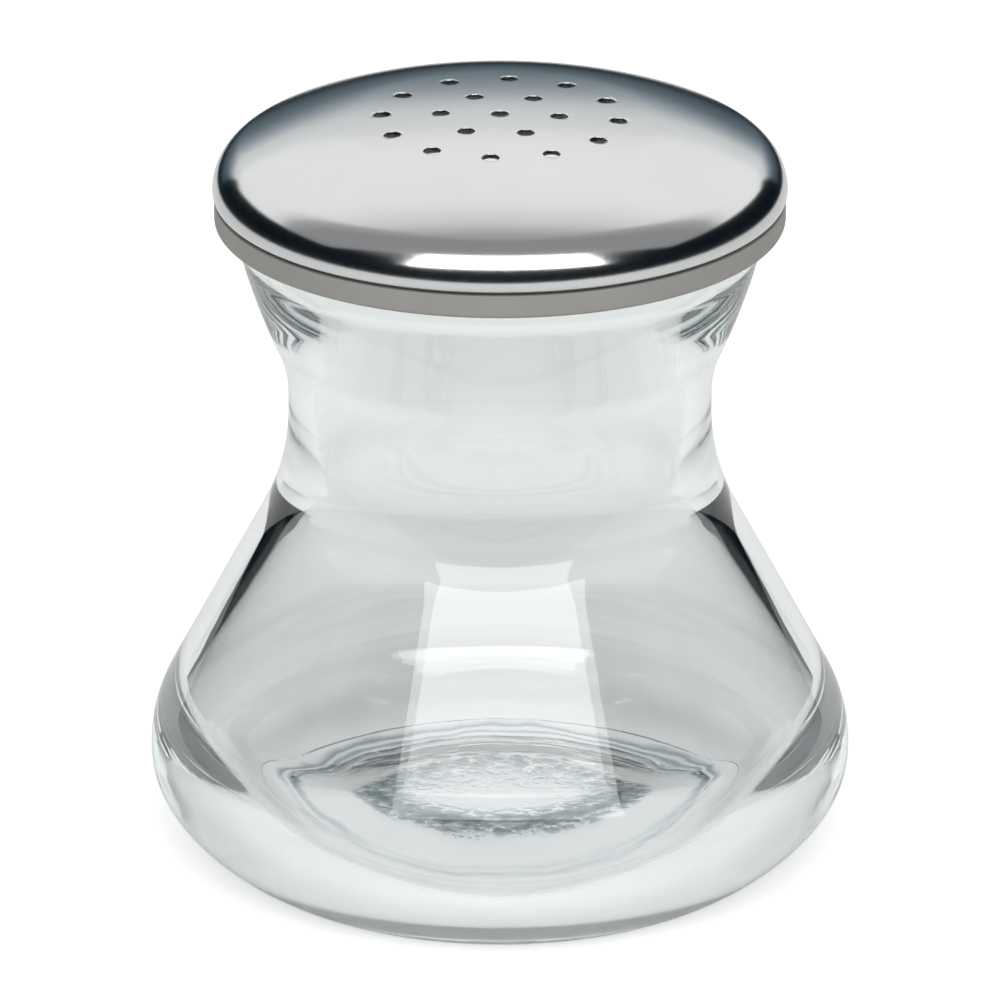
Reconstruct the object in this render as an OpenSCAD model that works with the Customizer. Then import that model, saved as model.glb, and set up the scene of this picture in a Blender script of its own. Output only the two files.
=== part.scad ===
// Waisted glass table shaker with a domed, perforated steel cap.
// The cap is snapped over a moulded liner, and the liner's plug pushes into the mouth of the jar.
// Every piece is turned about the Z axis. Millimetres, +Z up, origin at the centre of the foot.

/* [Jar outside] */
// Height of the glass, foot to lip
jar_h = 62; // [60:0.5:66]
// Largest radius, at the belly
belly_r = 31.1; // [29:0.1:34]
// Height of the widest part
belly_z = 9; // [8.4:0.1:10]
// Radius of the heel that turns the belly under
heel_rad = 7.6; // [7:0.1:9]
// How far the heel turns below the widest part, in degrees
heel_turn = 38; // [32:0.5:44]
// Radius of the flatter underside between the heel and the foot
under_rad = 17; // [15.5:0.5:20]
// Radius of the foot's edge
foot_rad = 1.2; // [0.6:0.1:2]
// Radius of the curve above the belly
belly_rad = 11.8; // [8:0.1:15]
// Smallest radius, at the waist
waist_r = 18.6; // [18.2:0.1:19.6]
// Height of the waist, where the lower curve ends, as a share of the jar's height
waist_ratio = 0.66; // [0.64:0.005:0.68]
// Radius of the hollow curve below the waist
waist_rad = 22; // [16:0.5:28]
// Length of the straight waist
waist_len = 1.5; // [0:0.1:3]
// Radius of the hollow curve above the waist
throat_rad = 11; // [8:0.5:13]
// Radius of the slightly full flare below the mouth
flare_rad = 60; // [45:1:90]
// Width of the flat ring that the jar stands on
foot_w = 4; // [2:0.1:6]
// Depth of the hollow under the foot
hollow_h = 1; // [0.4:0.1:1.6]

/* [Jar inside] */
// Glass thickness at the waist
wall = 2.5; // [2:0.1:3]
// How far below the waist the straight neck starts to open into the cavity
neck_drop = 5; // [2:0.5:7]
// Radius of the bend between the neck and the cavity
neck_rad = 9; // [6:0.5:16]
// Largest radius of the cavity
cavity_r = 27.6; // [26.5:0.1:28.2]
// Height of the widest part of the cavity
cavity_z = 12; // [11.5:0.1:12.6]
// Radius of the cavity above its widest part
cavity_rad = 6.5; // [5:0.5:9]
// Radius of the cavity below its widest part
cavity_low_rad = 11; // [10.5:0.5:14]
// Radius where the cavity turns into its floor
corner_rad = 6; // [4:0.5:7]
// Height of the floor, the glass thickness over the foot ring
floor_z = 2; // [1.9:0.1:3]
// Radius of the raised middle of the floor
dome_r = 11.5; // [8:0.1:13]
// Height of the step round the raised middle
step_h = 1.4; // [0.6:0.1:1.8]
// Radius of both bends of the step
step_rad = 1.1; // [0.9:0.1:2]
// Height that the raised middle rises further
crown_h = 0.3; // [0.1:0.1:0.6]

/* [Mouth] */
// Inside radius of the mouth
mouth_r = 21.1; // [20.3:0.1:21.5]
// Depth of the straight mouth
mouth_depth = 4.4; // [4.4:0.1:6]
// Radius between the straight mouth and the funnel below it
mouth_rad = 5; // [3:0.5:6]
// Width of the fire-polished lip
lip_w = 2.4; // [2:0.1:2.6]
// Height of the straight outside of the lip
lip_h = 2.8; // [2.2:0.1:3.2]

/* [Steel cap] */
// Largest radius of the cap
cap_r = 25.05; // [24.9:0.05:26]
// Sheet thickness
sheet = 0.4; // [0.3:0.05:0.5]
// Radius of the flat crown
crown_rad = 144; // [100:1:220]
// Radius around the axis where the crown ends
crown_w = 13; // [11:0.5:15]
// Radius of the shoulder outside the crown
shoulder_rad = 30.6; // [26:0.2:38]
// Radius of the rolled rim
rim_rad = 4; // [3.2:0.1:4.6]
// Outside radius of the curled edge
curl_rad = 0.7; // [0.6:0.05:0.9]
// Length of the snap lip inside the curl
snap_lip = 0.25; // [0.1:0.05:0.35]

/* [Shaker holes] */
// Hole diameter
hole_d = 1.5; // [1:0.1:2.5]
// Distance between the centres of neighbouring rings
ring_pitch = 5.15; // [3.5:0.05:5.6]
// Number of rings around the centre hole
ring_count = 2; // [1:1:2]
// Holes added with each ring
holes_per_ring = 6; // [4:1:8]
// Turn of the whole pattern about the axis
pattern_turn = -4.5; // [-45:0.5:45]

/* [Liner and seal] */
// Height of the collar that shows under the cap
collar_h = 2.05; // [1.5:0.05:2.4]
// Distance that the collar hangs below the lip
collar_drop = 3.6; // [3.3:0.05:3.9]
// How far the collar stands inside the cap's radius
collar_inset = 0.15; // [0:0.05:0.3]
// Radius of the collar's lower edge
collar_edge = 0.35; // [0.1:0.05:0.5]
// Thickness of the web over the lip
web_t = 1.2; // [0.8:0.1:1.5]
// Depth of the plug below the lip
plug_depth = 4; // [3.4:0.1:4.2]
// Thickness of the plug's wall
plug_wall = 2; // [1.6:0.1:2.6]
// Gap between the plug and the mouth, bridged by the seal
plug_gap = 0.5; // [0.4:0.05:0.7]
// Bevel that leads the plug into the mouth
plug_lead = 0.4; // [0.2:0.05:0.6]
// Depth of the seal's groove
groove_depth = 0.8; // [0.6:0.05:1]
// Height of the seal
seal_h = 1.9; // [1.5:0.05:2.1]
// Number of sealing lips
seal_lips = 2; // [1:1:3]

/* [Fits] */
// Clearance between the liner's skirt and the lip
skirt_fit = 0.1; // [0.05:0.01:0.1]
// Clearance between the sealing lips and the mouth
seal_fit = 0.05; // [0.02:0.01:0.08]
// Running clearance all round between the cap and the liner
cap_fit = 0.1; // [0.05:0.01:0.1]
// Gap between the liner's web and the top of the lip
seat_gap = 0.05; // [0.02:0.01:0.1]
// Play of the seal in its groove
groove_fit = 0.05; // [0.02:0.01:0.1]

/* [Hidden] */
$fn = 180;
chord_error = 0.01;  // how far an arc's chords may stand inside the true curve
cut = 1;             // overrun of a cutting shape

// Outline helpers: points are [radius, height]
function arc(c, r, a0, a1) =
    let (n = ceil(abs(a1 - a0) / (2 * acos(1 - chord_error / r))))
    [for (i = [0:n]) let (a = a0 + (a1 - a0) * i / n) c + r * [cos(a), sin(a)]];

// Angle of the normal of the straight line that touches circle a from outside and circle b from inside
function tangent_angle(ca, ra, cb, rb) =
    let (d = cb - ca)
    atan2(d[1], d[0]) + asin((ra + rb) / norm(d)) - 90;

function angle_to(c, p) = atan2(p[1] - c[1], p[0] - c[0]);

// Jar, outside
belly_c = [belly_r - belly_rad, belly_z];
heel_c = [belly_r - heel_rad, belly_z];
under_c = heel_c - (under_rad - heel_rad) * [cos(heel_turn), -sin(heel_turn)];
// The foot's edge touches the ground and the underside from within
foot_c = [under_c[0] + sqrt(pow(under_rad - foot_rad, 2) - pow(under_c[1] - foot_rad, 2)), foot_rad];
waist_z = waist_ratio * jar_h;
waist_c = [waist_r + waist_rad, waist_z];
throat_c = [waist_r + throat_rad, waist_z + waist_len];
flank_a = tangent_angle(belly_c, belly_rad, waist_c, waist_rad);
lip_r = mouth_r + lip_w;
lip_foot = [lip_r, jar_h - lip_h];
// The flare's circle touches the throat's circle and ends at the foot of the lip
flare_chord = lip_foot - throat_c;
flare_d = norm(flare_chord);
flare_u = flare_chord / flare_d;
flare_reach = throat_rad + flare_rad;
flare_along = (pow(flare_reach, 2) - pow(flare_rad, 2) + pow(flare_d, 2)) / (2 * flare_d);
flare_across = sqrt(pow(flare_reach, 2) - pow(flare_along, 2));
flare_c = throat_c + flare_along * flare_u + flare_across * [-flare_u[1], flare_u[0]];
flare_low = angle_to(flare_c, throat_c);
foot_in_r = foot_c[0] - foot_w;

// Jar, inside: the funnel touches the mouth's bend and the throat, and the flank touches the neck's bend
mouth_c = [mouth_r - mouth_rad, jar_h - mouth_depth];
throat_in_rad = throat_rad + wall;
funnel_a = tangent_angle([mouth_c[0], -mouth_c[1]], mouth_rad, [throat_c[0], -throat_c[1]], throat_in_rad);
neck_c = [waist_r - wall + neck_rad, waist_z - neck_drop];
cavity_c = [cavity_r - cavity_rad, cavity_z];
cavity_low_c = [cavity_r - cavity_low_rad, cavity_z];
cavity_a = tangent_angle(cavity_c, cavity_rad, neck_c, neck_rad);
corner_z = floor_z + corner_rad;
corner_reach = sqrt(pow(cavity_low_rad - corner_rad, 2) - pow(corner_z - cavity_z, 2));
corner_c = [cavity_low_c[0] + corner_reach, corner_z];
corner_a = angle_to(cavity_low_c, corner_c);
step_a = acos(1 - step_h / (2 * step_rad));
step_w = step_rad * sin(step_a);

// Lid, from the lip upwards
web_z = jar_h + seat_gap;
web_top = web_z + web_t;
collar_z = jar_h - collar_drop;
collar_top = collar_z + collar_h;
skirt_in_r = lip_r + skirt_fit;
cap_edge_z = collar_top + cap_fit;
rim_c = [cap_r - rim_rad, cap_edge_z + curl_rad];
crown_a = asin(crown_w / crown_rad);
shoulder_off = (crown_rad - shoulder_rad) * sin(crown_a);
shoulder_a = asin((rim_c[0] - shoulder_off) / (shoulder_rad - rim_rad));
shoulder_c = rim_c - (shoulder_rad - rim_rad) * [sin(shoulder_a), cos(shoulder_a)];
crown_c = shoulder_c - (crown_rad - shoulder_rad) * [sin(crown_a), cos(crown_a)];
cap_top = crown_c[1] + crown_rad;
curl_c = [cap_r - curl_rad, rim_c[1]];
collar_r = cap_r - collar_inset;
// The liner's shoulder follows the inside of the rim, and its snap groove takes the curled edge
liner_rim_rad = rim_rad - sheet - cap_fit;
snap_top = cap_edge_z + sheet + cap_fit;
snap_r = curl_c[0] - snap_lip - cap_fit;

// Plug and seal
plug_r = mouth_r - plug_gap;
plug_in_r = plug_r - plug_wall;
plug_z = jar_h - plug_depth;
seal_floor_r = plug_r - groove_depth;
groove_h = seal_h + 2 * groove_fit;
groove_z = (plug_z + web_z - groove_h) / 2;
seal_z = groove_z + groove_fit;
seal_body_r = plug_r - groove_fit;
seal_lip_h = seal_h / seal_lips;

// Outside of the glass from the foot to the lip, closed along the axis
function jar_outline() = concat(
    [[0, 0]],
    arc(foot_c, foot_rad, -90, angle_to(under_c, foot_c)),
    arc(under_c, under_rad, angle_to(under_c, foot_c), -heel_turn),
    arc(heel_c, heel_rad, -heel_turn, 0),
    arc(belly_c, belly_rad, 0, flank_a),
    arc(waist_c, waist_rad, 180 + flank_a, 180),
    arc(throat_c, throat_rad, 180, flare_low + 180),
    arc(flare_c, flare_rad, flare_low, angle_to(flare_c, lip_foot)),
    arc([lip_r - lip_w / 2, jar_h - lip_w / 2], lip_w / 2, 0, 180),
    [[0, jar_h - lip_w / 2]]);

// Cavity from the raised middle of its floor to the mouth, open at the top
function cavity_outline() = concat(
    [[0, floor_z + step_h + crown_h]],
    arc([dome_r - step_w, floor_z + step_h - step_rad], step_rad, 90, 90 - step_a),
    arc([dome_r + step_w, floor_z + step_rad], step_rad, -90 - step_a, -90),
    arc(corner_c, corner_rad, -90, corner_a),
    arc(cavity_low_c, cavity_low_rad, corner_a, 0),
    arc(cavity_c, cavity_rad, 0, cavity_a),
    arc(neck_c, neck_rad, 180 + cavity_a, 180),
    arc(throat_c, throat_in_rad, 180, 180 - funnel_a),
    arc(mouth_c, mouth_rad, -funnel_a, 0),
    [[mouth_r, jar_h + cut], [0, jar_h + cut]]);

// Shallow hollow under the foot, a slice of a sphere
module foot_hollow() {
    hollow_rad = (pow(foot_in_r, 2) + pow(hollow_h, 2)) / (2 * hollow_h);
    edge_a = acos(foot_in_r / hollow_rad);
    polygon(concat(
        [[0, -cut], [foot_in_r, -cut]],
        arc([0, hollow_h - hollow_rad], hollow_rad, edge_a, 90)));
}

module glass_jar() {
    color("azure", 0.4)
    rotate_extrude()
    difference() {
        polygon(jar_outline());
        polygon(cavity_outline());
        foot_hollow();
    }
}

// Drawn sheet: outer face from the axis to the curled edge, and back along the inner face
function cap_outline() = concat(
    arc(crown_c, crown_rad, 90, 90 - crown_a),
    arc(shoulder_c, shoulder_rad, 90 - crown_a, 90 - shoulder_a),
    arc(rim_c, rim_rad, 90 - shoulder_a, 0),
    arc(curl_c, curl_rad, 0, -90),
    [[curl_c[0] - snap_lip, cap_edge_z]],
    [[curl_c[0] - snap_lip, cap_edge_z + sheet]],
    arc(curl_c, curl_rad - sheet, -90, 0),
    arc(rim_c, rim_rad - sheet, 0, 90 - shoulder_a),
    arc(shoulder_c, shoulder_rad - sheet, 90 - shoulder_a, 90 - crown_a),
    arc(crown_c, crown_rad - sheet, 90 - crown_a, 90));

// One hole in the middle, and rings of six, twelve and so on around it
module shaker_holes() {
    hole_z = cap_top - rim_rad;
    translate([0, 0, hole_z]) cylinder(d = hole_d, h = rim_rad + cut, $fn = 32);
    for (ring = [1:ring_count]) {
        count = ring * holes_per_ring;
        for (i = [0:count - 1]) {
            a = pattern_turn + i * 360 / count;
            translate([ring * ring_pitch * cos(a), ring * ring_pitch * sin(a), hole_z])
                cylinder(d = hole_d, h = rim_rad + cut, $fn = 32);
        }
    }
}

module dome_cap() {
    color("silver")
    difference() {
        rotate_extrude() polygon(cap_outline());
        shaker_holes();
    }
}

// Collar, skirt with the snap groove, web over the lip, and the plug with the seal's groove
module liner_section() {
    polygon(concat(
        [[plug_in_r, plug_z], [plug_r - plug_lead, plug_z], [plug_r, plug_z + plug_lead]],
        [[plug_r, groove_z], [seal_floor_r, groove_z]],
        [[seal_floor_r, groove_z + groove_h], [plug_r, groove_z + groove_h]],
        [[plug_r, web_z], [skirt_in_r, web_z], [skirt_in_r, collar_z]],
        arc([collar_r - collar_edge, collar_z + collar_edge], collar_edge, -90, 0),
        [[collar_r, collar_top], [snap_r, collar_top], [snap_r, snap_top]],
        arc(rim_c, liner_rim_rad, asin((snap_top - rim_c[1]) / liner_rim_rad),
            asin((web_top - rim_c[1]) / liner_rim_rad)),
        [[plug_in_r, web_top]]));
}

module cap_liner() {
    color("darkgray")
    rotate_extrude() liner_section();
}

// One sealing lip: a ridge whose point stands close to the mouth
function seal_lip(z) = [
    [seal_body_r, z + 0.1 * seal_lip_h],
    [mouth_r - seal_fit, z + 0.4 * seal_lip_h],
    [mouth_r - seal_fit, z + 0.6 * seal_lip_h],
    [seal_body_r, z + 0.9 * seal_lip_h]];

// Soft ring whose lips bridge the gap between the plug and the mouth
module seal_ring() {
    seal_in_r = seal_floor_r + groove_fit;
    color("whitesmoke")
    rotate_extrude()
    polygon(concat(
        [[seal_in_r, seal_z + seal_h], [seal_in_r, seal_z], [seal_body_r, seal_z]],
        [for (i = [0:seal_lips - 1], p = seal_lip(seal_z + i * seal_lip_h)) p],
        [[seal_body_r, seal_z + seal_h]]));
}

glass_jar();
dome_cap();
cap_liner();
seal_ring();
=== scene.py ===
"""Looks for a waisted glass table shaker with a perforated steel cap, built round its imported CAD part."""
import math

import bpy
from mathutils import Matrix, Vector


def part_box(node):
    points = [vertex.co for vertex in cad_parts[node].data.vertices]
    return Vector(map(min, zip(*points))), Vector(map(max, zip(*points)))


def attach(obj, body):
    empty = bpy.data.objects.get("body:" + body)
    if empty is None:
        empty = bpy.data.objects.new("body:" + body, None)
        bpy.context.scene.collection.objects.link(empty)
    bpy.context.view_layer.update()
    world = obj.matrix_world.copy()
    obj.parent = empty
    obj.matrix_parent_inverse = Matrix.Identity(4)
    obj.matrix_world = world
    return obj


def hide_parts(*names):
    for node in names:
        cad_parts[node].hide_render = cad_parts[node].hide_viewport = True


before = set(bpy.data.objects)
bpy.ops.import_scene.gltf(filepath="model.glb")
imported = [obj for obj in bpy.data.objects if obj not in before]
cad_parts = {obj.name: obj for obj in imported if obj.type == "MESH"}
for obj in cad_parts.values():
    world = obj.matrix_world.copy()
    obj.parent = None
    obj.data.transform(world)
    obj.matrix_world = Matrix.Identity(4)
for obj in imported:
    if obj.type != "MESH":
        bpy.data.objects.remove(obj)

bl_info = {
    "name": "Table Shaker",
    "version": (1, 0, 0),
    "blender": (4, 5, 0),
    "location": "View3D > Sidebar > Shaker",
    "description": "Builds a table shaker's glass, steel cap, liner, seal and studio",
    "category": "Object",
}

MM = 0.001
_, JAR_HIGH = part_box("glass_jar")
CAP_LOW, CAP_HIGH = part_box("dome_cap")
LINER_LOW, LINER_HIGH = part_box("cap_liner")
SEAL_LOW, SEAL_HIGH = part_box("seal_ring")


# Sizes, colours and levels that a user would change

def size(name, description, default):
    return bpy.props.FloatProperty(
        name=name, description=description, default=default, min=0, unit="LENGTH", precision=5)


def slope(name, description, degrees):
    return bpy.props.FloatProperty(
        name=name, description=description, default=math.radians(degrees), subtype="ANGLE")


def share(name, description, default):
    return bpy.props.FloatProperty(
        name=name, description=description, default=default, min=0, max=1, subtype="FACTOR")


def level(name, description, default):
    return bpy.props.FloatProperty(name=name, description=description, default=default, min=0)


def tint(name, description, default):
    return bpy.props.FloatVectorProperty(
        name=name, description=description, default=default, min=0, max=1, size=3, subtype="COLOR")


class ShakerJarSizes(bpy.types.PropertyGroup):
    """The glass. Its outside runs from the foot to the lip, its inside from the mouth to the floor."""
    height: size("Height", "Foot to lip", JAR_HIGH.z)
    belly_radius: size("Belly radius", "Largest radius of the glass", JAR_HIGH.x)
    belly_height: size("Belly height", "Height of the widest part", 9 * MM)
    belly_curve: size("Belly curve", "Radius of the curve above the widest part", 11.8 * MM)
    heel_curve: size("Heel curve", "Radius that turns the belly under", 7.6 * MM)
    heel_turn: slope("Heel turn", "How far the heel's curve turns below the widest part", 38)
    under_curve: size("Underside curve", "Radius of the flatter curve between heel and foot", 17 * MM)
    foot_curve: size("Foot curve", "Radius of the edge of the foot", 1.2 * MM)
    foot_width: size("Foot width", "Width of the flat ring under the foot", 4 * MM)
    foot_hollow: size("Foot hollow", "Depth of the hollow under the foot", 1.0 * MM)
    waist_radius: size("Waist radius", "Smallest radius of the glass", 18.6 * MM)
    waist_ratio: share("Waist ratio", "Height of the waist as a share of the jar's height", 0.66)
    waist_curve: size("Waist curve", "Radius of the hollow below the waist", 22 * MM)
    waist_length: size("Waist length", "Length of the straight waist", 1.5 * MM)
    throat_curve: size("Throat curve", "Radius of the hollow above the waist", 11 * MM)
    flare_curve: size("Flare curve", "Radius of the full flare below the lip", 60 * MM)
    lip_width: size("Lip width", "Width of the fire-polished lip", 2.4 * MM)
    lip_height: size("Lip height", "Height of the straight outside of the lip", 2.8 * MM)
    mouth_radius: size("Mouth radius", "Inside radius of the mouth", 21.1 * MM)
    mouth_depth: size("Mouth depth", "Depth of the straight mouth", 4.4 * MM)
    mouth_curve: size("Mouth curve", "Radius between the mouth and the funnel", 5 * MM)
    wall: size("Wall", "Glass thickness at the waist", 2.5 * MM)
    neck_drop: size("Neck drop", "How far below the waist the neck starts to open", 5 * MM)
    neck_curve: size("Neck curve", "Radius between the neck and the cavity", 9 * MM)
    cavity_radius: size("Cavity radius", "Largest radius of the cavity", 27.6 * MM)
    cavity_height: size("Cavity height", "Height of the widest part of the cavity", 12 * MM)
    cavity_curve: size("Cavity curve", "Radius above the cavity's widest part", 6.5 * MM)
    cavity_low_curve: size("Cavity lower curve", "Radius below the cavity's widest part", 11 * MM)
    corner_curve: size("Corner curve", "Radius where the cavity turns into its floor", 6 * MM)
    floor: size("Floor", "Height of the cavity's floor", 2 * MM)
    dome_radius: size("Dome radius", "Radius of the raised middle of the floor", 11.5 * MM)
    step: size("Step", "Height of the step round the raised middle", 1.4 * MM)
    step_curve: size("Step curve", "Radius of both bends of the step", 1.1 * MM)
    crown: size("Crown", "Height that the raised middle rises further", 0.3 * MM)


class ShakerLidSizes(bpy.types.PropertyGroup):
    """The steel cap, the liner under it and the soft seal."""
    cap_radius: size("Cap radius", "Largest radius of the steel cap", CAP_HIGH.x)
    sheet: size("Sheet", "Thickness of the steel", 0.4 * MM)
    crown_curve: size("Crown curve", "Radius of the flat crown", 144 * MM)
    crown_width: size("Crown width", "Radius round the axis where the crown ends", 13 * MM)
    shoulder_curve: size("Shoulder curve", "Radius outside the crown", 30.6 * MM)
    rim_curve: size("Rim curve", "Radius of the rolled rim", 4 * MM)
    curl: size("Curl", "Outside radius of the curled edge", 0.7 * MM)
    snap_lip: size("Snap lip", "Length of the snap lip inside the curl", 0.25 * MM)
    hole: size("Hole", "Diameter of a shaker hole", 1.5 * MM)
    hole_edge: size("Hole edge", "Radius that the punch rolls the hole's edge to", 0.06 * MM)
    hole_pitch: size("Hole pitch", "Distance between the rings of holes", 5.15 * MM)
    hole_turn: slope("Pattern turn", "Turn of the pattern of holes", -4.5)
    collar_radius: size("Collar radius", "Radius of the collar that shows under the cap", LINER_HIGH.x)
    collar_height: size("Collar height", "Height of the collar", 2.05 * MM)
    collar_drop: size("Collar drop", "How far the collar hangs below the lip", 3.6 * MM)
    collar_edge: size("Collar edge", "Radius of the collar's lower edge", 0.35 * MM)
    play: size("Play", "Gap between the liner and what it carries", 0.1 * MM)
    seat: size("Seat", "Gap between the liner's web and the lip", 0.05 * MM)
    web: size("Web", "Thickness of the web over the lip", 1.2 * MM)
    plug_gap: size("Plug gap", "Gap between the plug and the mouth", 0.5 * MM)
    plug_wall: size("Plug wall", "Thickness of the plug", 2 * MM)
    plug_lead: size("Plug lead", "Bevel that leads the plug into the mouth", 0.4 * MM)
    groove_depth: size("Groove depth", "Depth of the seal's groove", 0.8 * MM)
    groove_play: size("Groove play", "Play of the seal in its groove", 0.05 * MM)
    moulded_edge: size("Moulded edge", "Width of the worn corners of the moulding", 0.06 * MM)


class ShakerFinishes(bpy.types.PropertyGroup):
    """Colours of the pieces."""
    glass: tint("Glass", "Tint of a glass surface", (0.962, 0.984, 0.981))
    glass_pale: tint("Pale glass", "Tint where the glass is a little clearer", (0.970, 0.988, 0.986))
    glass_depth: tint("Glass depth", "Colour that long ways through glass take on", (0.45, 0.72, 0.70))
    # The next colour darkens the floor's speckled ring and paints shade along the corner where the cavity
    # meets its floor
    glass_marks_and_shade: tint("Glass mark", "Colour of the floor's chill marks and fold", (0.20, 0.27, 0.31))
    steel: tint("Steel", "Colour of the polished steel", (0.72, 0.725, 0.72))
    steel_dull: tint("Dull steel", "Colour of the steel where it is a little duller", (0.66, 0.67, 0.675))
    liner: tint("Liner", "Warm grey of the moulding", (0.26, 0.255, 0.24))
    liner_dark: tint("Liner dark", "Darker flow marks in the moulding", (0.22, 0.215, 0.20))
    seal: tint("Seal", "Milky silicone", (0.74, 0.74, 0.72))
    seal_dark: tint("Seal dark", "Dust on the silicone", (0.64, 0.63, 0.60))


class ShakerStudio(bpy.types.PropertyGroup):
    """Levels of the studio."""
    window_level: level("Window", "Brightness of the front window", 4.0)
    top_level: level("Top softbox", "Brightness of the softbox over the back", 1.05)
    fill_level: level("Fill", "Light of the tent on painted and moulded pieces", 0.65)
    horizon_level: level("Horizon", "Brightness at table height, seen through glass", 0.85)
    floor_shade: level("Floor", "Grey of the table", 0.8)
    floor_lift: level("Floor lift", "Light added to the table where it is seen directly", 0.45)
    glass_lift: level("Glass lift", "Light added to the table where it is seen through glass", 0.12)
    under_lift: level("Under lift", "Light added to the table under the jar, seen through glass", 0.5)
    tent_radius: size("Tent radius", "Radius of the studio's dark tent", 2.2)
    floor_radius: size("Floor radius", "Radius of the table", 0.42)


# Outlines: a point is drawn along lines and arcs in the XZ plane, and the outline is spun round Z

STEP = 0.55 * MM      # spacing of the points along an outline
TURN_STEPS = 240      # faces round the axis
MERGE = 0.001 * MM
SMOOTH_UNDER = math.radians(40)
RIGHT, TOP, LEFT, BOTTOM = 0, 90, 180, -90


def polar(centre, radius, degrees):
    a = math.radians(degrees)
    return (centre[0] + radius * math.cos(a), centre[1] + radius * math.sin(a))


def bearing(centre, point):
    return math.degrees(math.atan2(point[1] - centre[1], point[0] - centre[0]))


def tangent_angle(a, a_radius, b, b_radius):
    """Angle of the normal of the line that touches circle a from outside and circle b from inside."""
    return bearing(a, b) + math.degrees(math.asin((a_radius + b_radius) / math.dist(a, b))) - 90


def slice_centre(half_width, rise):
    """How far below its top the centre of a flat arc lies."""
    return (half_width ** 2 + rise ** 2) / (2 * rise)


def deselect_all():
    if bpy.context.object and bpy.context.object.mode != "OBJECT":
        bpy.ops.object.mode_set(mode="OBJECT")
    bpy.ops.object.select_all(action="DESELECT")


def pick(piece):
    deselect_all()
    piece.select_set(True)
    bpy.context.view_layer.objects.active = piece


class Outline:
    """An outline in edit mode whose last point is selected."""

    def __init__(self, name, start, step=STEP):
        deselect_all()
        bpy.ops.mesh.primitive_plane_add(size=step)
        self.piece = bpy.context.object
        self.piece.name = name
        self.piece.data.name = name
        bpy.ops.object.mode_set(mode="EDIT")
        bpy.ops.mesh.select_mode(type="VERT")
        bpy.ops.mesh.select_all(action="SELECT")
        bpy.ops.mesh.merge(type="CENTER")
        bpy.ops.transform.translate(value=(start[0], 0, start[1]))
        self.at = start
        self.step = step

    def line(self, *points, steps=None):
        for end in points:
            dx = end[0] - self.at[0]
            dz = end[1] - self.at[1]
            count = steps or max(1, round(math.hypot(dx, dz) / self.step))
            for _ in range(count):
                bpy.ops.mesh.extrude_vertices_move(
                    TRANSFORM_OT_translate={"value": (dx / count, 0, dz / count)})
            self.at = end

    def arc(self, centre, to, steps=None):
        """An arc round centre, from where the outline is to the angle to, in degrees."""
        radius = math.dist(centre, self.at)
        start = bearing(centre, self.at)
        sweep = (to - start + 180) % 360 - 180
        count = steps or max(4, round(radius * math.radians(abs(sweep)) / self.step))
        bpy.ops.mesh.spin(steps=count, angle=math.radians(sweep),
                          center=(centre[0], 0, centre[1]), axis=(0, 1, 0))
        self.at = polar(centre, radius, to)

    def turn(self, turn_steps=TURN_STEPS):
        """Spins the outline into a closed piece and shades it smooth between sharp corners."""
        bpy.ops.mesh.select_all(action="SELECT")
        bpy.ops.mesh.spin(steps=turn_steps, angle=math.tau, center=(0, 0, 0), axis=(0, 0, 1))
        bpy.ops.mesh.select_all(action="SELECT")
        bpy.ops.mesh.remove_doubles(threshold=MERGE)
        bpy.ops.mesh.normals_make_consistent(inside=False)
        bpy.ops.object.mode_set(mode="OBJECT")
        bpy.ops.object.shade_smooth_by_angle(angle=SMOOTH_UNDER)
        return self.piece


def wear_corners(piece, width):
    """Rounds the sharp corners of a moulding."""
    pick(piece)
    bpy.ops.object.modifier_add(type="BEVEL")
    bevel = piece.modifiers[-1]
    bevel.width = width
    bevel.segments = 2
    bevel.limit_method = "ANGLE"
    bevel.angle_limit = SMOOTH_UNDER
    bpy.ops.object.modifier_apply(modifier=bevel.name)
    bpy.ops.object.shade_smooth_by_angle(angle=SMOOTH_UNDER)


# Pieces

def jar_outside(o, s):
    """From the hollow foot up to the inner side of the lip."""
    heel = (s.belly_radius - s.heel_curve, s.belly_height)
    belly = (s.belly_radius - s.belly_curve, s.belly_height)
    heel_end = -math.degrees(s.heel_turn)
    under = polar(heel, s.heel_curve - s.under_curve, heel_end)
    # The foot's edge is rounded by a circle that touches the ground and the underside from within
    reach = math.sqrt((s.under_curve - s.foot_curve) ** 2 - (under[1] - s.foot_curve) ** 2)
    foot = (under[0] + reach, s.foot_curve)
    foot_in = foot[0] - s.foot_width
    hollow = (0, s.foot_hollow - slice_centre(foot_in, s.foot_hollow))
    waist_z = s.waist_ratio * s.height
    waist = (s.waist_radius + s.waist_curve, waist_z)
    throat = (s.waist_radius + s.throat_curve, waist_z + s.waist_length)
    flank = tangent_angle(belly, s.belly_curve, waist, s.waist_curve)
    lip_radius = s.mouth_radius + s.lip_width
    lip_foot = (lip_radius, s.height - s.lip_height)
    lip_round = (lip_radius - s.lip_width / 2, s.height - s.lip_width / 2)
    # The flare's circle touches the throat's circle and ends at the foot of the lip
    chord = math.dist(throat, lip_foot)
    both = s.throat_curve + s.flare_curve
    along = (both ** 2 - s.flare_curve ** 2 + chord ** 2) / (2 * chord)
    across = math.sqrt(both ** 2 - along ** 2)
    ux = (lip_foot[0] - throat[0]) / chord
    uz = (lip_foot[1] - throat[1]) / chord
    flare = (throat[0] + along * ux - across * uz, throat[1] + along * uz + across * ux)

    o.arc(hollow, bearing(hollow, (foot_in, 0)))
    o.line((foot[0], 0))
    o.arc(foot, bearing(under, foot))
    o.arc(under, heel_end)
    o.arc(heel, RIGHT)
    o.arc(belly, flank)
    o.line(polar(waist, s.waist_curve, LEFT + flank))
    o.arc(waist, LEFT)
    o.line((s.waist_radius, throat[1]))
    o.arc(throat, LEFT + bearing(flare, throat))
    o.arc(flare, bearing(flare, lip_foot))
    o.line((lip_radius, lip_round[1]))
    o.arc(lip_round, LEFT, steps=16)


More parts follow.
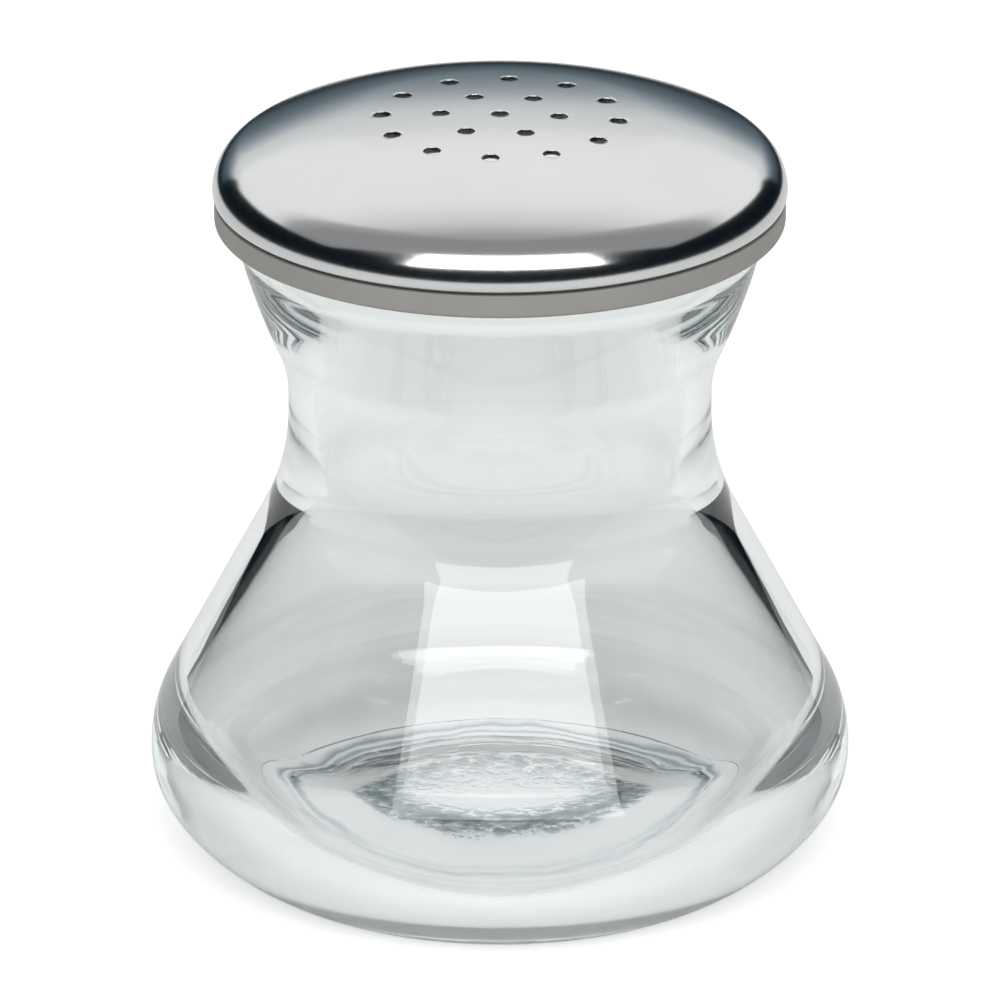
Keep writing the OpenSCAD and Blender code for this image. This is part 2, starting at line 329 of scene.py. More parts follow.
def floor_corner(s):
    """Centre of the arc where the cavity turns into its floor."""
    height = s.floor + s.corner_curve
    reach = math.sqrt((s.cavity_low_curve - s.corner_curve) ** 2 - (height - s.cavity_height) ** 2)
    return (s.cavity_radius - s.cavity_low_curve + reach, height)


def jar_inside(o, s):
    """From the inner side of the lip down to the middle of the cavity's floor."""
    waist_z = s.waist_ratio * s.height
    throat = (s.waist_radius + s.throat_curve, waist_z + s.waist_length)
    throat_curve = s.throat_curve + s.wall
    mouth = (s.mouth_radius - s.mouth_curve, s.height - s.mouth_depth)
    funnel = tangent_angle((mouth[0], -mouth[1]), s.mouth_curve, (throat[0], -throat[1]), throat_curve)
    neck_radius = s.waist_radius - s.wall
    neck = (neck_radius + s.neck_curve, waist_z - s.neck_drop)
    cavity = (s.cavity_radius - s.cavity_curve, s.cavity_height)
    cavity_low = (s.cavity_radius - s.cavity_low_curve, s.cavity_height)
    flank = tangent_angle(cavity, s.cavity_curve, neck, s.neck_curve)
    corner = floor_corner(s)
    step_turn = math.acos(1 - s.step / (2 * s.step_curve))
    step_width = s.step_curve * math.sin(step_turn)
    step_low = (s.dome_radius + step_width, s.floor + s.step_curve)
    step_high = (s.dome_radius - step_width, s.floor + s.step - s.step_curve)
    crown = (0, s.floor + s.step + s.crown - slice_centre(step_high[0], s.crown))

    o.line((s.mouth_radius, mouth[1]))
    o.arc(mouth, -funnel)
    o.line(polar(throat, throat_curve, LEFT - funnel))
    o.arc(throat, LEFT)
    o.line((neck_radius, neck[1]))
    o.arc(neck, LEFT + flank)
    o.line(polar(cavity, s.cavity_curve, flank))
    o.arc(cavity, RIGHT)
    o.arc(cavity_low, bearing(cavity_low, corner))
    o.arc(corner, BOTTOM)
    o.line((step_low[0], s.floor))
    o.arc(step_low, BOTTOM - math.degrees(step_turn), steps=8)
    o.arc(step_high, TOP, steps=8)
    o.arc(crown, TOP)


def jar_piece(s):
    o = Outline("jar_glass", (0, s.foot_hollow))
    jar_outside(o, s)
    jar_inside(o, s)
    return o.turn()


def cap_circles(s):
    """Centres of the rim, shoulder, crown and curl, and the angles where the arcs meet."""
    rim = (s.cap_radius - s.rim_curve, CAP_LOW.z + s.curl)
    crown_angle = math.asin(s.crown_width / s.crown_curve)
    offset = (s.crown_curve - s.shoulder_curve) * math.sin(crown_angle)
    drop = s.shoulder_curve - s.rim_curve
    shoulder_angle = math.asin((rim[0] - offset) / drop)
    shoulder = (rim[0] - drop * math.sin(shoulder_angle), rim[1] - drop * math.cos(shoulder_angle))
    rise = s.crown_curve - s.shoulder_curve
    crown = (0, shoulder[1] - rise * math.cos(crown_angle))
    curl = (s.cap_radius - s.curl, rim[1])
    return rim, shoulder, crown, curl, math.degrees(crown_angle), math.degrees(shoulder_angle)


def cap_piece(s):
    """Outer face from the axis to the curled edge, and back along the inner face."""
    rim, shoulder, crown, curl, crown_angle, shoulder_angle = cap_circles(s)
    top = crown[1] + s.crown_curve
    snap = curl[0] - s.snap_lip
    edge = CAP_LOW.z
    o = Outline("cap_steel", (0, top))
    o.arc(crown, TOP - crown_angle)
    o.arc(shoulder, TOP - shoulder_angle)
    o.arc(rim, RIGHT, steps=20)
    o.arc(curl, BOTTOM, steps=6)
    o.line((snap, edge), (snap, edge + s.sheet), (curl[0], edge + s.sheet), steps=1)
    o.arc(curl, RIGHT, steps=4)
    o.arc(rim, TOP - shoulder_angle, steps=20)
    o.arc(shoulder, TOP - crown_angle)
    o.arc(crown, TOP)
    cap = o.turn()
    punch_holes(cap, s, crown)
    return cap


def punch_holes(cap, s, crown):
    """A hole in the middle, then rings of six and of twelve, square to the crown with rolled edges."""
    radius = s.hole / 2
    above = 1.5 * MM
    below = -2 * MM
    o = Outline("punch", (0, below))
    o.line((radius, below), (radius, -s.hole_edge), steps=1)
    o.arc((radius + s.hole_edge, -s.hole_edge), TOP, steps=4)
    o.line((radius + 2 * s.hole_edge, above), (0, above), steps=1)
    first = o.turn(turn_steps=40)
    punches = [first]
    places = [(0, 0)]
    for ring in (1, 2):
        count = 6 * ring
        for i in range(count):
            places.append((ring * s.hole_pitch, s.hole_turn + i * math.tau / count))
    for i, (r, turn) in enumerate(places):
        if i:
            pick(first)
            bpy.ops.object.duplicate()
            punches.append(bpy.context.object)
        lean = math.asin(r / s.crown_curve)
        punch = punches[-1]
        height = crown[1] + s.crown_curve * math.cos(lean)
        punch.location = (r * math.cos(turn), r * math.sin(turn), height)
        punch.rotation_euler = (0, lean, turn)
    pick(first)
    for punch in punches:
        punch.select_set(True)
    bpy.ops.object.join()
    bpy.ops.object.transform_apply(location=True, rotation=True, scale=True)
    pick(cap)
    bpy.ops.object.modifier_add(type="BOOLEAN")
    cut = cap.modifiers[-1]
    cut.operation = "DIFFERENCE"
    cut.solver = "EXACT"
    cut.object = first
    bpy.ops.object.modifier_apply(modifier=cut.name)
    bpy.data.objects.remove(first)
    bpy.ops.object.shade_smooth_by_angle(angle=SMOOTH_UNDER)


def groove_levels(s, jar):
    """Radius of the plug's face, and the foot and head of the seal's groove in it."""
    plug_radius = jar.mouth_radius - s.plug_gap
    return plug_radius, SEAL_LOW.z - s.groove_play, SEAL_HIGH.z + s.groove_play


def liner_piece(s, jar):
    """Plug with the seal's groove, web over the lip, skirt with the snap groove, and the collar."""
    rim, _, _, curl, _, _ = cap_circles(s)
    plug_radius, groove_low, groove_high = groove_levels(s, jar)
    plug_low = LINER_LOW.z
    plug_in = plug_radius - s.plug_wall
    groove_floor = plug_radius - s.groove_depth
    web_low = jar.height + s.seat
    web_top = web_low + s.web
    skirt_in = jar.mouth_radius + jar.lip_width + s.play
    collar_low = jar.height - s.collar_drop
    collar_top = collar_low + s.collar_height
    collar_round = (s.collar_radius - s.collar_edge, collar_low + s.collar_edge)
    snap_radius = curl[0] - s.snap_lip - s.play
    snap_top = CAP_LOW.z + s.sheet + s.play
    skirt_curve = s.rim_curve - s.sheet - s.play
    skirt_low = math.degrees(math.asin((snap_top - rim[1]) / skirt_curve))
    skirt_high = math.degrees(math.asin((web_top - rim[1]) / skirt_curve))

    o = Outline("liner_moulding", (plug_in, plug_low))
    o.line((plug_radius - s.plug_lead, plug_low), (plug_radius, plug_low + s.plug_lead))
    o.line((plug_radius, groove_low), (groove_floor, groove_low))
    o.line((groove_floor, groove_high), (plug_radius, groove_high))
    o.line((plug_radius, web_low), (skirt_in, web_low), (skirt_in, collar_low))
    o.line((collar_round[0], collar_low))
    o.arc(collar_round, RIGHT, steps=5)
    o.line((s.collar_radius, collar_top), (snap_radius, collar_top), (snap_radius, snap_top))
    o.line(polar(rim, skirt_curve, skirt_low), steps=1)
    o.arc(rim, skirt_high)
    o.line((plug_in, web_top), (plug_in, plug_low))
    liner = o.turn()
    wear_corners(liner, s.moulded_edge)
    return liner


def seal_piece(s, jar):
    """Soft ring with two round lips that reach for the mouth."""
    plug_radius, _, _ = groove_levels(s, jar)
    inner = plug_radius - s.groove_depth + s.groove_play
    body = plug_radius - s.groove_play
    lip = (SEAL_HIGH.z - SEAL_LOW.z) / 2
    o = Outline("seal_silicone", (inner, SEAL_LOW.z), step=0.3 * MM)
    o.line((body, SEAL_LOW.z))
    for low in (SEAL_LOW.z, SEAL_LOW.z + lip):
        o.line((body, low + 0.1 * lip), (SEAL_HIGH.x, low + 0.4 * lip), steps=2)
        o.line((SEAL_HIGH.x, low + 0.6 * lip), (body, low + 0.9 * lip), steps=2)
    o.line((body, SEAL_HIGH.z), (inner, SEAL_HIGH.z), (inner, SEAL_LOW.z))
    seal = o.turn()
    wear_corners(seal, s.moulded_edge)
    return seal


# Materials

def grain_group():
    """Even grain in two sizes: its mask, and a value and a colour that follow it."""
    name = "surface_grain"
    if name in bpy.data.node_groups:
        return bpy.data.node_groups[name]
    group = bpy.data.node_groups.new(name, "ShaderNodeTree")
    made = group.interface.new_socket
    number = "NodeSocketFloat"
    tone = "NodeSocketColor"
    for label, kind in (("Fine", number), ("Broad", number), ("Low", number), ("High", number),
                        ("Color A", tone), ("Color B", tone)):
        made(label, in_out="INPUT", socket_type=kind)
    for label, kind in (("Mask", number), ("Value", number), ("Color", tone)):
        made(label, in_out="OUTPUT", socket_type=kind)
    nodes = group.nodes
    join = group.links.new
    given = nodes.new("NodeGroupInput")
    result = nodes.new("NodeGroupOutput")
    place = nodes.new("ShaderNodeTexCoord")
    fine = nodes.new("ShaderNodeTexNoise")
    broad = nodes.new("ShaderNodeTexNoise")
    fine.inputs["Detail"].default_value = 3
    broad.inputs["Detail"].default_value = 2
    blend = nodes.new("ShaderNodeMix")
    blend.inputs["Factor"].default_value = 0.5
    value = nodes.new("ShaderNodeMapRange")
    value.inputs["From Min"].default_value = 0.3
    value.inputs["From Max"].default_value = 0.7
    colour = nodes.new("ShaderNodeMix")
    colour.data_type = "RGBA"
    join(place.outputs["Object"], fine.inputs["Vector"])
    join(place.outputs["Object"], broad.inputs["Vector"])
    join(given.outputs["Fine"], fine.inputs["Scale"])
    join(given.outputs["Broad"], broad.inputs["Scale"])
    join(fine.outputs["Fac"], blend.inputs["A"])
    join(broad.outputs["Fac"], blend.inputs["B"])
    join(blend.outputs["Result"], value.inputs["Value"])
    join(given.outputs["Low"], value.inputs["To Min"])
    join(given.outputs["High"], value.inputs["To Max"])
    join(broad.outputs["Fac"], colour.inputs["Factor"])
    join(given.outputs["Color A"], colour.inputs["A"])
    join(given.outputs["Color B"], colour.inputs["B"])
    join(blend.outputs["Result"], result.inputs["Mask"])
    join(value.outputs["Result"], result.inputs["Value"])
    join(colour.outputs["Result"], result.inputs["Color"])
    return group


def grained_material(name, fine, broad, low, high, colours, bump_strength, bump_depth):
    """A Principled material whose grain drives its colour, roughness and bump."""
    material = bpy.data.materials.new(name)
    material.use_nodes = True
    nodes = material.node_tree.nodes
    join = material.node_tree.links.new
    shader = nodes["Principled BSDF"]
    grain = nodes.new("ShaderNodeGroup")
    grain.node_tree = grain_group()
    grain.inputs["Fine"].default_value = fine
    grain.inputs["Broad"].default_value = broad
    grain.inputs["Low"].default_value = low
    grain.inputs["High"].default_value = high
    grain.inputs["Color A"].default_value = (*colours[0], 1)
    grain.inputs["Color B"].default_value = (*colours[1], 1)
    bump = nodes.new("ShaderNodeBump")
    bump.inputs["Strength"].default_value = bump_strength
    bump.inputs["Distance"].default_value = bump_depth
    join(grain.outputs["Color"], shader.inputs["Base Color"])
    join(grain.outputs["Value"], shader.inputs["Roughness"])
    join(grain.outputs["Mask"], bump.inputs["Height"])
    join(bump.outputs["Normal"], shader.inputs["Normal"])
    return material, shader, grain, bump


def ramp(material, value, stops):
    """A colour that follows a value through pairs of place and colour in rising order."""
    nodes = material.node_tree.nodes
    join = material.node_tree.links.new
    low, first = stops[0]
    high, last = stops[-1]
    span = nodes.new("ShaderNodeMapRange")
    span.inputs["From Min"].default_value = low
    span.inputs["From Max"].default_value = high
    colours = nodes.new("ShaderNodeValToRGB")
    colours.color_ramp.interpolation = "EASE"
    marks = colours.color_ramp.elements
    marks[0].color = (*first, 1)
    marks[1].color = (*last, 1)
    for at, colour in stops[1:-1]:
        mark = marks.new((at - low) / (high - low))
        mark.color = (*colour, 1)
    join(value, span.inputs["Value"])
    join(span.outputs["Result"], colours.inputs["Fac"])
    return colours.outputs["Color"]


def band(material, value, stops):
    """A mask that follows a value through pairs of place and strength in rising order."""
    return ramp(material, value, [(at, (strength,) * 3) for at, strength in stops])


def fade(material, axis, stops):
    """A colour that follows one axis, from pairs of place and colour in rising order."""
    place = material.node_tree.nodes.new("ShaderNodeTexCoord")
    split = material.node_tree.nodes.new("ShaderNodeSeparateXYZ")
    material.node_tree.links.new(place.outputs["Object"], split.inputs["Vector"])
    return ramp(material, split.outputs[axis], stops)


def combine(material, operation, a, b, c=0):
    """One step of arithmetic; a is a socket, b and c are sockets or numbers."""
    nodes = material.node_tree.nodes
    join = material.node_tree.links.new
    step = nodes.new("ShaderNodeMath")
    step.operation = operation
    join(a, step.inputs[0])
    for i, value in ((1, b), (2, c)):
        if isinstance(value, (int, float)):
            step.inputs[i].default_value = value
        else:
            join(value, step.inputs[i])
    return step.outputs["Value"]


GLASS_IOR = 1.51
GLASS_DENSITY = 4     # of the tint inside the glass
GRIT = 900            # specks of the darker ring round the floor's raised middle
SWAY = 160            # bends of the marks' edges
WANDER = 1.5 * MM     # how far the marks stray to either side
MARK_ROUGH = 0.05
MARK_RELIEF = 1.5     # against the waves of the glass


def floor_marks_and_shade(material, s):
    """Masks of a darker ring round the floor's raised middle, of painted shade along the floor's corner,
    and of specks.
    """
    nodes = material.node_tree.nodes
    join = material.node_tree.links.new
    place = nodes.new("ShaderNodeTexCoord")
    flat = nodes.new("ShaderNodeVectorMath")
    flat.operation = "MULTIPLY"
    flat.inputs[1].default_value = (1, 1, 0)
    reach = nodes.new("ShaderNodeVectorMath")
    reach.operation = "LENGTH"
    split = nodes.new("ShaderNodeSeparateXYZ")
    grit = nodes.new("ShaderNodeTexNoise")
    grit.inputs["Scale"].default_value = GRIT
    grit.inputs["Detail"].default_value = 3
    sway = nodes.new("ShaderNodeTexNoise")
    sway.inputs["Scale"].default_value = SWAY
    sway.inputs["Detail"].default_value = 2
    join(place.outputs["Object"], flat.inputs[0])
    join(flat.outputs["Vector"], reach.inputs[0])
    for node in (split, grit, sway):
        join(place.outputs["Object"], node.inputs["Vector"])
    away = combine(material, "MULTIPLY_ADD", sway.outputs["Fac"], 2 * WANDER, -WANDER)
    wandering = combine(material, "ADD", away, reach.outputs["Value"])
    r = s.dome_radius
    ring = band(material, wandering, (
        (0, 0.05), (0.6 * r, 0.2), (0.86 * r, 1), (1.1 * r, 1), (1.25 * r, 0)))
    corner = floor_corner(s)[0]
    # Painted shade along the corner where the cavity meets its floor, darkest at the back
    painted_corner_shade = band(material, wandering, (
        (corner - 1 * MM, 0), (corner, 1), (corner + 0.5 * MM, 0.2),
        (corner + 1 * MM, 1), (corner + 2 * MM, 0)))
    top = s.floor + s.step + s.crown
    low_down = band(material, split.outputs["Z"], ((0, 1), (top + 0.2 * MM, 1), (top + 1 * MM, 0)))
    # The painted shade along the corner fades out towards the front
    backward = band(material, split.outputs["Y"], (
        (-corner, 0.25), (-0.3 * corner, 0.35), (0.2 * corner, 1), (corner, 1)))
    ring = combine(material, "MULTIPLY", low_down, ring)
    painted_corner_shade = combine(material, "MULTIPLY", low_down, painted_corner_shade)
    painted_corner_shade = combine(material, "MULTIPLY", painted_corner_shade, backward)
    specks = band(material, grit.outputs["Fac"], ((0.35, 0), (0.45, 0.2), (0.55, 1), (0.7, 1)))
    return ring, painted_corner_shade, specks


def glass_material(c, s):
    """Clear pressed glass with a sea-green depth, the slow waves of the mould, a darker speckled ring on
    its floor and painted shade along the floor's corner.
    """
    material, shader, grain, bump = grained_material(
        "clear_pressed_glass", fine=60, broad=25, low=0, high=0.01,
        colours=(c.glass, c.glass_pale), bump_strength=1, bump_depth=0.05 * MM)
    shader.inputs["Transmission Weight"].default_value = 1
    shader.inputs["IOR"].default_value = GLASS_IOR
    join = material.node_tree.links.new
    ring, painted_corner_shade, specks = floor_marks_and_shade(material, s)
    speckled = combine(material, "MULTIPLY", ring, specks)
    marks = combine(material, "MAXIMUM", speckled, painted_corner_shade)
    rough = combine(material, "MULTIPLY_ADD", marks, MARK_ROUGH, grain.outputs["Value"])
    relief = combine(material, "MULTIPLY_ADD", marks, MARK_RELIEF, grain.outputs["Mask"])
    # The dark colour mixed in here is painted shade along the floor's corner, and a darker speckled ring
    # round the raised middle
    dark_marks_and_shade = material.node_tree.nodes.new("ShaderNodeMix")
    dark_marks_and_shade.data_type = "RGBA"
    dark_marks_and_shade.inputs["B"].default_value = (*c.glass_marks_and_shade, 1)
    join(marks, dark_marks_and_shade.inputs["Factor"])
    join(grain.outputs["Color"], dark_marks_and_shade.inputs["A"])
    join(dark_marks_and_shade.outputs["Result"], shader.inputs["Base Color"])
    join(rough, shader.inputs["Roughness"])
    join(relief, bump.inputs["Height"])
    depth = material.node_tree.nodes.new("ShaderNodeVolumeAbsorption")
    depth.inputs["Color"].default_value = (*c.glass_depth, 1)
    depth.inputs["Density"].default_value = GLASS_DENSITY
    join(depth.outputs["Volume"], material.node_tree.nodes["Material Output"].inputs["Volume"])
    return material


def steel_material(c):
    """Satin drawn stainless steel with a fine even grain."""
    material, shader, _, _ = grained_material(
        "satin_drawn_steel", fine=2500, broad=90, low=0.13, high=0.17,
        colours=(c.steel, c.steel_dull), bump_strength=0.15, bump_depth=0.01 * MM)
    shader.inputs["Metallic"].default_value = 1
    return material


def liner_material(c):
    """Warm grey moulded plastic with faint flow marks."""
    material, _, _, _ = grained_material(
        "warm_grey_moulding", fine=1800, broad=120, low=0.42, high=0.55,
        colours=(c.liner, c.liner_dark), bump_strength=0.3, bump_depth=0.02 * MM)
    return material


def seal_material(c):
    """Milky silicone with a little dust."""
    material, _, _, _ = grained_material(
        "milky_silicone", fine=1200, broad=200, low=0.5, high=0.7,
        colours=(c.seal, c.seal_dark), bump_strength=0.3, bump_depth=0.02 * MM)
    return material


def finish_piece(piece, body, node, material):
    piece.data.materials.clear()
    piece.data.materials.append(material)
    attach(piece, body)
    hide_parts(node)


# Studio

EYE = (0, -706.99 * MM, 318.35 * MM)
AIM_DOWN = 22.06      # degrees
LENS = 311.04
SENSOR = 36
GLASS_BOUNCES = 32    # enough for the light that runs round inside the glass
DUSK = (0.003, 0.007, 0.011)
SLATE = (0.10, 0.14, 0.17)
MIST = (0.28, 0.34, 0.38)
HAZE = (0.72, 0.75, 0.76)
OVERHEAD = (0.32, 0.32, 0.325)
WHITE = (1, 1, 1)
PITCH = (0.002, 0.003, 0.004)
BACK_SHADES = ((-0.1, DUSK), (0.25, SLATE), (0.4, MIST), (0.5, HAZE), (0.6, WHITE))
SOFTBOX_SHADES = ((-0.35, OVERHEAD), (0.05, OVERHEAD), (0.19, (0.42,) * 3), (0.3, (0.85,) * 3),
                  (0.42, WHITE), (1.315, WHITE))
WINDOW_SIZE = (1.33, 1.0)
WINDOW_PLACE = (0.055, -0.8, 0.93)
FLAG_DISTANCE = 1.2
FLAG_TURN = 32.5      # degrees from straight behind the shaker to the middle of a flag
FLAG_WIDTH = 55       # degrees
FLAG_RISE = 12        # degrees above and below the table


def glow_material(name, strength=1):
    """A material that only glows, for the tent and the cards."""
    material = bpy.data.materials.new(name)
    material.use_nodes = True
    nodes = material.node_tree.nodes
    nodes.clear()
    out = nodes.new("ShaderNodeOutputMaterial")
    glow = nodes.new("ShaderNodeEmission")
    glow.inputs["Strength"].default_value = strength
    material.node_tree.links.new(glow.outputs["Emission"], out.inputs["Surface"])
    return material, glow


def sky(material, radius, stops):
    """A colour that follows the height over the horizon, from pairs of degrees and colour."""
    return fade(material, "Z", [(radius * math.sin(math.radians(up)), colour) for up, colour in stops])


def sort_rays(material, ray, rest, seen):
    """The colour seen to one kind of ray, and the colour rest to the others."""
    nodes = material.node_tree.nodes
    join = material.node_tree.links.new
    path = nodes.new("ShaderNodeLightPath")
    choice = nodes.new("ShaderNodeMix")
    choice.data_type = "RGBA"
    join(path.outputs[ray], choice.inputs["Factor"])
    join(rest, choice.inputs["A"])
    if isinstance(seen, tuple):
        choice.inputs["B"].default_value = (*seen, 1)
    else:
        join(seen, choice.inputs["B"])
    return choice.outputs["Result"]


def tent_material(s):
    """Dark low down and grey overhead in reflections, pale at table height through glass."""
    material, glow = glow_material("studio_tent")
    radius = s.tent_radius
    mirrored = sky(material, radius, ((-90, DUSK), (26, DUSK), (62, OVERHEAD), (90, OVERHEAD)))
    pale = (s.horizon_level,) * 3
    through = sky(material, radius, (
        (-90, pale), (3, pale), (8, DUSK), (26, DUSK), (62, OVERHEAD), (90, OVERHEAD)))
    seen = sort_rays(material, "Is Transmission Ray", mirrored, through)
    # The table and the moulded pieces get an even light from all round
    seen = sort_rays(material, "Diffuse Depth", seen, (s.fill_level,) * 3)
    material.node_tree.links.new(seen, glow.inputs["Color"])
    return material


def card(name, centre, width, height, turn, material):
    """A flat card that the camera doesn't see."""
    deselect_all()
    bpy.ops.mesh.primitive_plane_add(size=1)
    piece = bpy.context.object
    piece.name = name
    piece.scale = (width, height, 1)
    piece.rotation_euler = turn
    piece.location = centre
    bpy.ops.object.transform_apply(location=True, rotation=True, scale=True)
    piece.data.materials.append(material)
    piece.visible_camera = False
    return piece


def floor_material(s):
    """A pale table that looks white beside the shaker and keeps its shadow."""
    material = bpy.data.materials.new("pale_table")
    material.use_nodes = True
    nodes = material.node_tree.nodes
    join = material.node_tree.links.new
    shader = nodes["Principled BSDF"]
    shader.inputs["Base Color"].default_value = (s.floor_shade, s.floor_shade, s.floor_shade, 1)
    shader.inputs["Roughness"].default_value = 0.8
    shader.inputs["Specular IOR Level"].default_value = 0.1
    shader.inputs["Emission Color"].default_value = (1, 1, 1, 1)
    # Glass lets little light down to the table under it, so the table glows a little there
    place = nodes.new("ShaderNodeTexCoord")
    reach = nodes.new("ShaderNodeVectorMath")
    reach.operation = "LENGTH"
    under = nodes.new("ShaderNodeMapRange")
    under.interpolation_type = "SMOOTHSTEP"
    under.inputs["From Min"].default_value = JAR_HIGH.x * 1.05
    under.inputs["From Max"].default_value = JAR_HIGH.x * 0.6
    under.inputs["To Min"].default_value = s.glass_lift
    under.inputs["To Max"].default_value = s.under_lift
    path = nodes.new("ShaderNodeLightPath")
    direct = nodes.new("ShaderNodeMath")
    direct.operation = "MULTIPLY"
    direct.inputs[1].default_value = s.floor_lift
    lift = nodes.new("ShaderNodeMath")
    lift.operation = "MULTIPLY_ADD"
    join(place.outputs["Object"], reach.inputs[0])
    join(reach.outputs["Value"], under.inputs["Value"])
    join(under.outputs["Result"], lift.inputs[1])
    join(path.outputs["Is Camera Ray"], direct.inputs[0])
    join(path.outputs["Is Transmission Ray"], lift.inputs[0])
    join(direct.outputs["Value"], lift.inputs[2])
    join(lift.outputs["Value"], shader.inputs["Emission Strength"])
    return material


def window_lamp(s):
    """A tall window before the shaker."""
    data = bpy.data.lights.new("window", "AREA")
    data.shape = "RECTANGLE"
    data.size, data.size_y = WINDOW_SIZE
    data.energy = s.window_level * math.pi * data.size * data.size_y
    lamp = bpy.data.objects.new("window", data)
    bpy.context.scene.collection.objects.link(lamp)
    lamp.location = WINDOW_PLACE
    lamp.rotation_euler = (math.radians(90), 0, 0)
    lamp.visible_camera = False


def black_flags():
    """Two cards behind the shaker that only the glass picks up, as dark edges."""
    material, glow = glow_material("black_flag")
    glow.inputs["Color"].default_value = (*PITCH, 1)
    width = 2 * FLAG_DISTANCE * math.sin(math.radians(FLAG_WIDTH / 2))
    height = 2 * FLAG_DISTANCE * math.tan(math.radians(FLAG_RISE))
    for name, way in (("flag_left", -1), ("flag_right", 1)):
        turn = way * math.radians(FLAG_TURN)
        centre = (FLAG_DISTANCE * math.sin(turn), FLAG_DISTANCE * math.cos(turn), 0)
        flag = card(name, centre, width, height, (math.radians(90), 0, -turn), material)
        flag.visible_glossy = False
        flag.visible_diffuse = False
        flag.visible_shadow = False


def studio_camera():
    data = bpy.data.cameras.new("camera")
    data.lens = LENS
    data.sensor_width = SENSOR
    data.clip_start = 0.01
    data.clip_end = 10
    eye = bpy.data.objects.new("camera", data)
    bpy.context.scene.collection.objects.link(eye)
    eye.location = EYE
    eye.rotation_euler = (math.radians(90 - AIM_DOWN), 0, 0)
    bpy.context.scene.camera = eye


def build_studio(s):
    scene = bpy.context.scene
    scene.view_settings.view_transform = "Standard"
    scene.cycles.max_bounces = GLASS_BOUNCES
    scene.cycles.transmission_bounces = GLASS_BOUNCES
    scene.cycles.glossy_bounces = GLASS_BOUNCES

    world = bpy.data.worlds.new("white_studio")
    world.use_nodes = True
    world.node_tree.nodes["Background"].inputs["Color"].default_value = (1, 1, 1, 1)
    scene.world = world

    deselect_all()
    bpy.ops.mesh.primitive_circle_add(vertices=128, radius=s.floor_radius, fill_type="NGON")
    floor = bpy.context.object
    floor.name = "floor"
    floor.data.materials.append(floor_material(s))

    deselect_all()
    bpy.ops.mesh.primitive_uv_sphere_add(segments=64, ring_count=32, radius=s.tent_radius)
    tent = bpy.context.object
    tent.name = "tent"
    tent.data.materials.append(tent_material(s))
    tent.visible_camera = False

    upright = (math.radians(90), 0, 0)
    material, glow = glow_material("graded_card")
    shade = fade(material, "Z", BACK_SHADES)
    material.node_tree.links.new(shade, glow.inputs["Color"])
    back = card("back_card", (0, 1.35, 0.25), 1.9, 0.7, upright, material)
    back.visible_transmission = False

    material, glow = glow_material("softbox", s.top_level)
    shade = fade(material, "Y", SOFTBOX_SHADES)
    material.node_tree.links.new(shade, glow.inputs["Color"])
    card("top_softbox", (0, 0.48, 0.6), 2.4, 1.67, (0, 0, 0), material)

    window_lamp(s)
    black_flags()
    studio_camera()


# Operators

class SHAKER_OT_glass_jar(bpy.types.Operator):
    """Spin the pressed glass jar from its outline"""
    bl_idname = "shaker.glass_jar"
    bl_label = "Glass jar"

    def execute(self, context):
        jar = jar_piece(context.scene.shaker_jar)
        glass = glass_material(context.scene.shaker_finishes, context.scene.shaker_jar)
        finish_piece(jar, "jar", "glass_jar", glass)
        return {"FINISHED"}


class SHAKER_OT_steel_cap(bpy.types.Operator):
    """Spin the drawn steel cap and punch its holes"""
    bl_idname = "shaker.steel_cap"
    bl_label = "Steel cap"

    def execute(self, context):
        cap = cap_piece(context.scene.shaker_lid)
        steel = steel_material(context.scene.shaker_finishes)
        finish_piece(cap, "cap", "dome_cap", steel)
        return {"FINISHED"}


class SHAKER_OT_liner(bpy.types.Operator):
    """Spin the moulded liner with its collar, skirt, web and plug"""
    bl_idname = "shaker.liner"
    bl_label = "Liner"

    def execute(self, context):
        liner = liner_piece(context.scene.shaker_lid, context.scene.shaker_jar)
        moulding = liner_material(context.scene.shaker_finishes)
        finish_piece(liner, "lid", "cap_liner", moulding)
        return {"FINISHED"}


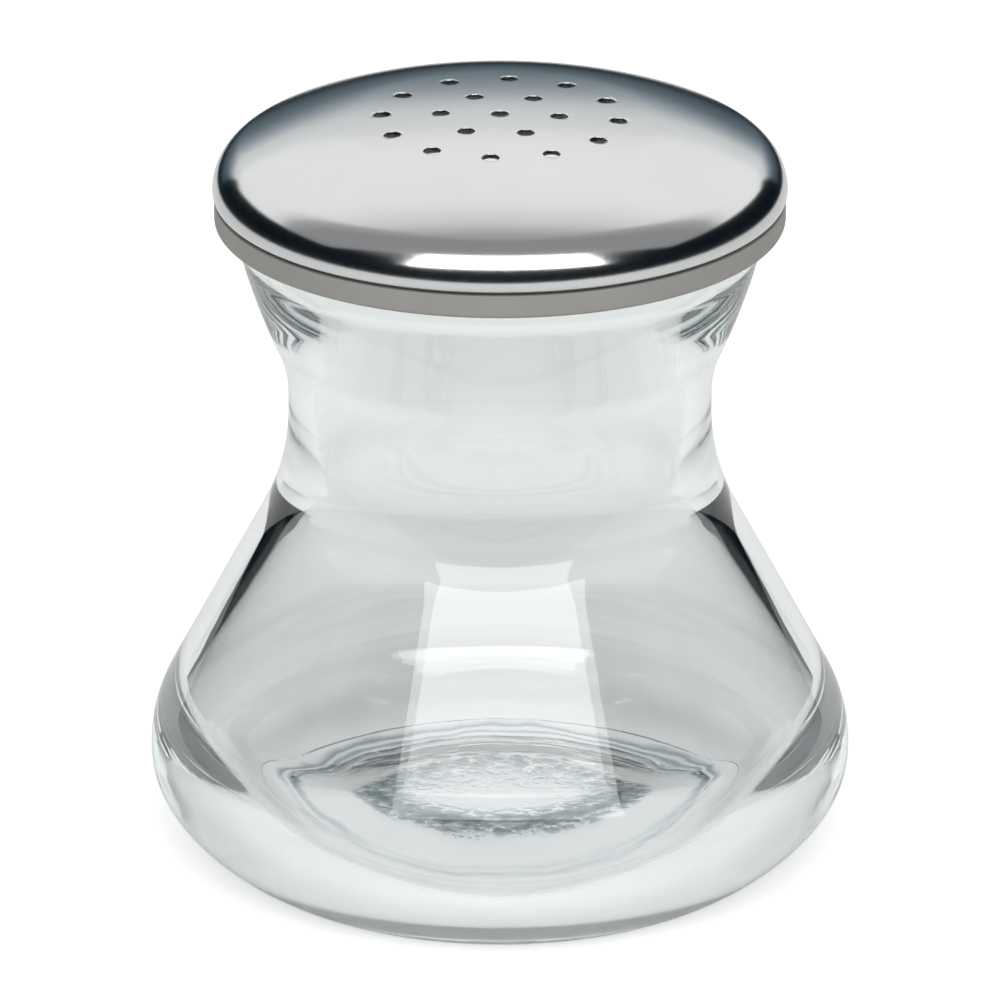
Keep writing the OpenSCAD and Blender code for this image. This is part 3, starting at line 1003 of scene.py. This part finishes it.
class SHAKER_OT_seal(bpy.types.Operator):
    """Spin the soft seal in the plug's groove"""
    bl_idname = "shaker.seal"
    bl_label = "Seal"

    def execute(self, context):
        seal = seal_piece(context.scene.shaker_lid, context.scene.shaker_jar)
        silicone = seal_material(context.scene.shaker_finishes)
        finish_piece(seal, "lid", "seal_ring", silicone)
        return {"FINISHED"}


class SHAKER_OT_studio(bpy.types.Operator):
    """Set up the table, the lamps, the tent and the camera"""
    bl_idname = "shaker.studio"
    bl_label = "Studio"

    def execute(self, context):
        build_studio(context.scene.shaker_studio)
        return {"FINISHED"}


OPERATORS = (SHAKER_OT_glass_jar, SHAKER_OT_steel_cap, SHAKER_OT_liner, SHAKER_OT_seal, SHAKER_OT_studio)
SETTINGS = (
    ("shaker_jar", ShakerJarSizes),
    ("shaker_lid", ShakerLidSizes),
    ("shaker_finishes", ShakerFinishes),
    ("shaker_studio", ShakerStudio),
)


class SHAKER_PT_sidebar(bpy.types.Panel):
    """Builds each piece of the shaker"""
    bl_idname = "SHAKER_PT_sidebar"
    bl_label = "Table Shaker"
    bl_space_type = "VIEW_3D"
    bl_region_type = "UI"
    bl_category = "Shaker"

    def draw(self, context):
        for operator in OPERATORS:
            self.layout.operator(operator.bl_idname)
        for name, kind in SETTINGS:
            box = self.layout.box()
            settings = getattr(context.scene, name)
            for key in kind.__annotations__:
                box.prop(settings, key)


def register():
    for name, kind in SETTINGS:
        bpy.utils.register_class(kind)
        setattr(bpy.types.Scene, name, bpy.props.PointerProperty(type=kind))
    for operator in OPERATORS:
        bpy.utils.register_class(operator)
    bpy.utils.register_class(SHAKER_PT_sidebar)


def unregister():
    bpy.utils.unregister_class(SHAKER_PT_sidebar)
    for operator in reversed(OPERATORS):
        bpy.utils.unregister_class(operator)
    for name, kind in reversed(SETTINGS):
        delattr(bpy.types.Scene, name)
        bpy.utils.unregister_class(kind)


def main():
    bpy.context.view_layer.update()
    register()
    bpy.ops.shaker.glass_jar()
    bpy.ops.shaker.steel_cap()
    bpy.ops.shaker.liner()
    bpy.ops.shaker.seal()
    bpy.ops.shaker.studio()


if __name__ == "__main__":
    main()
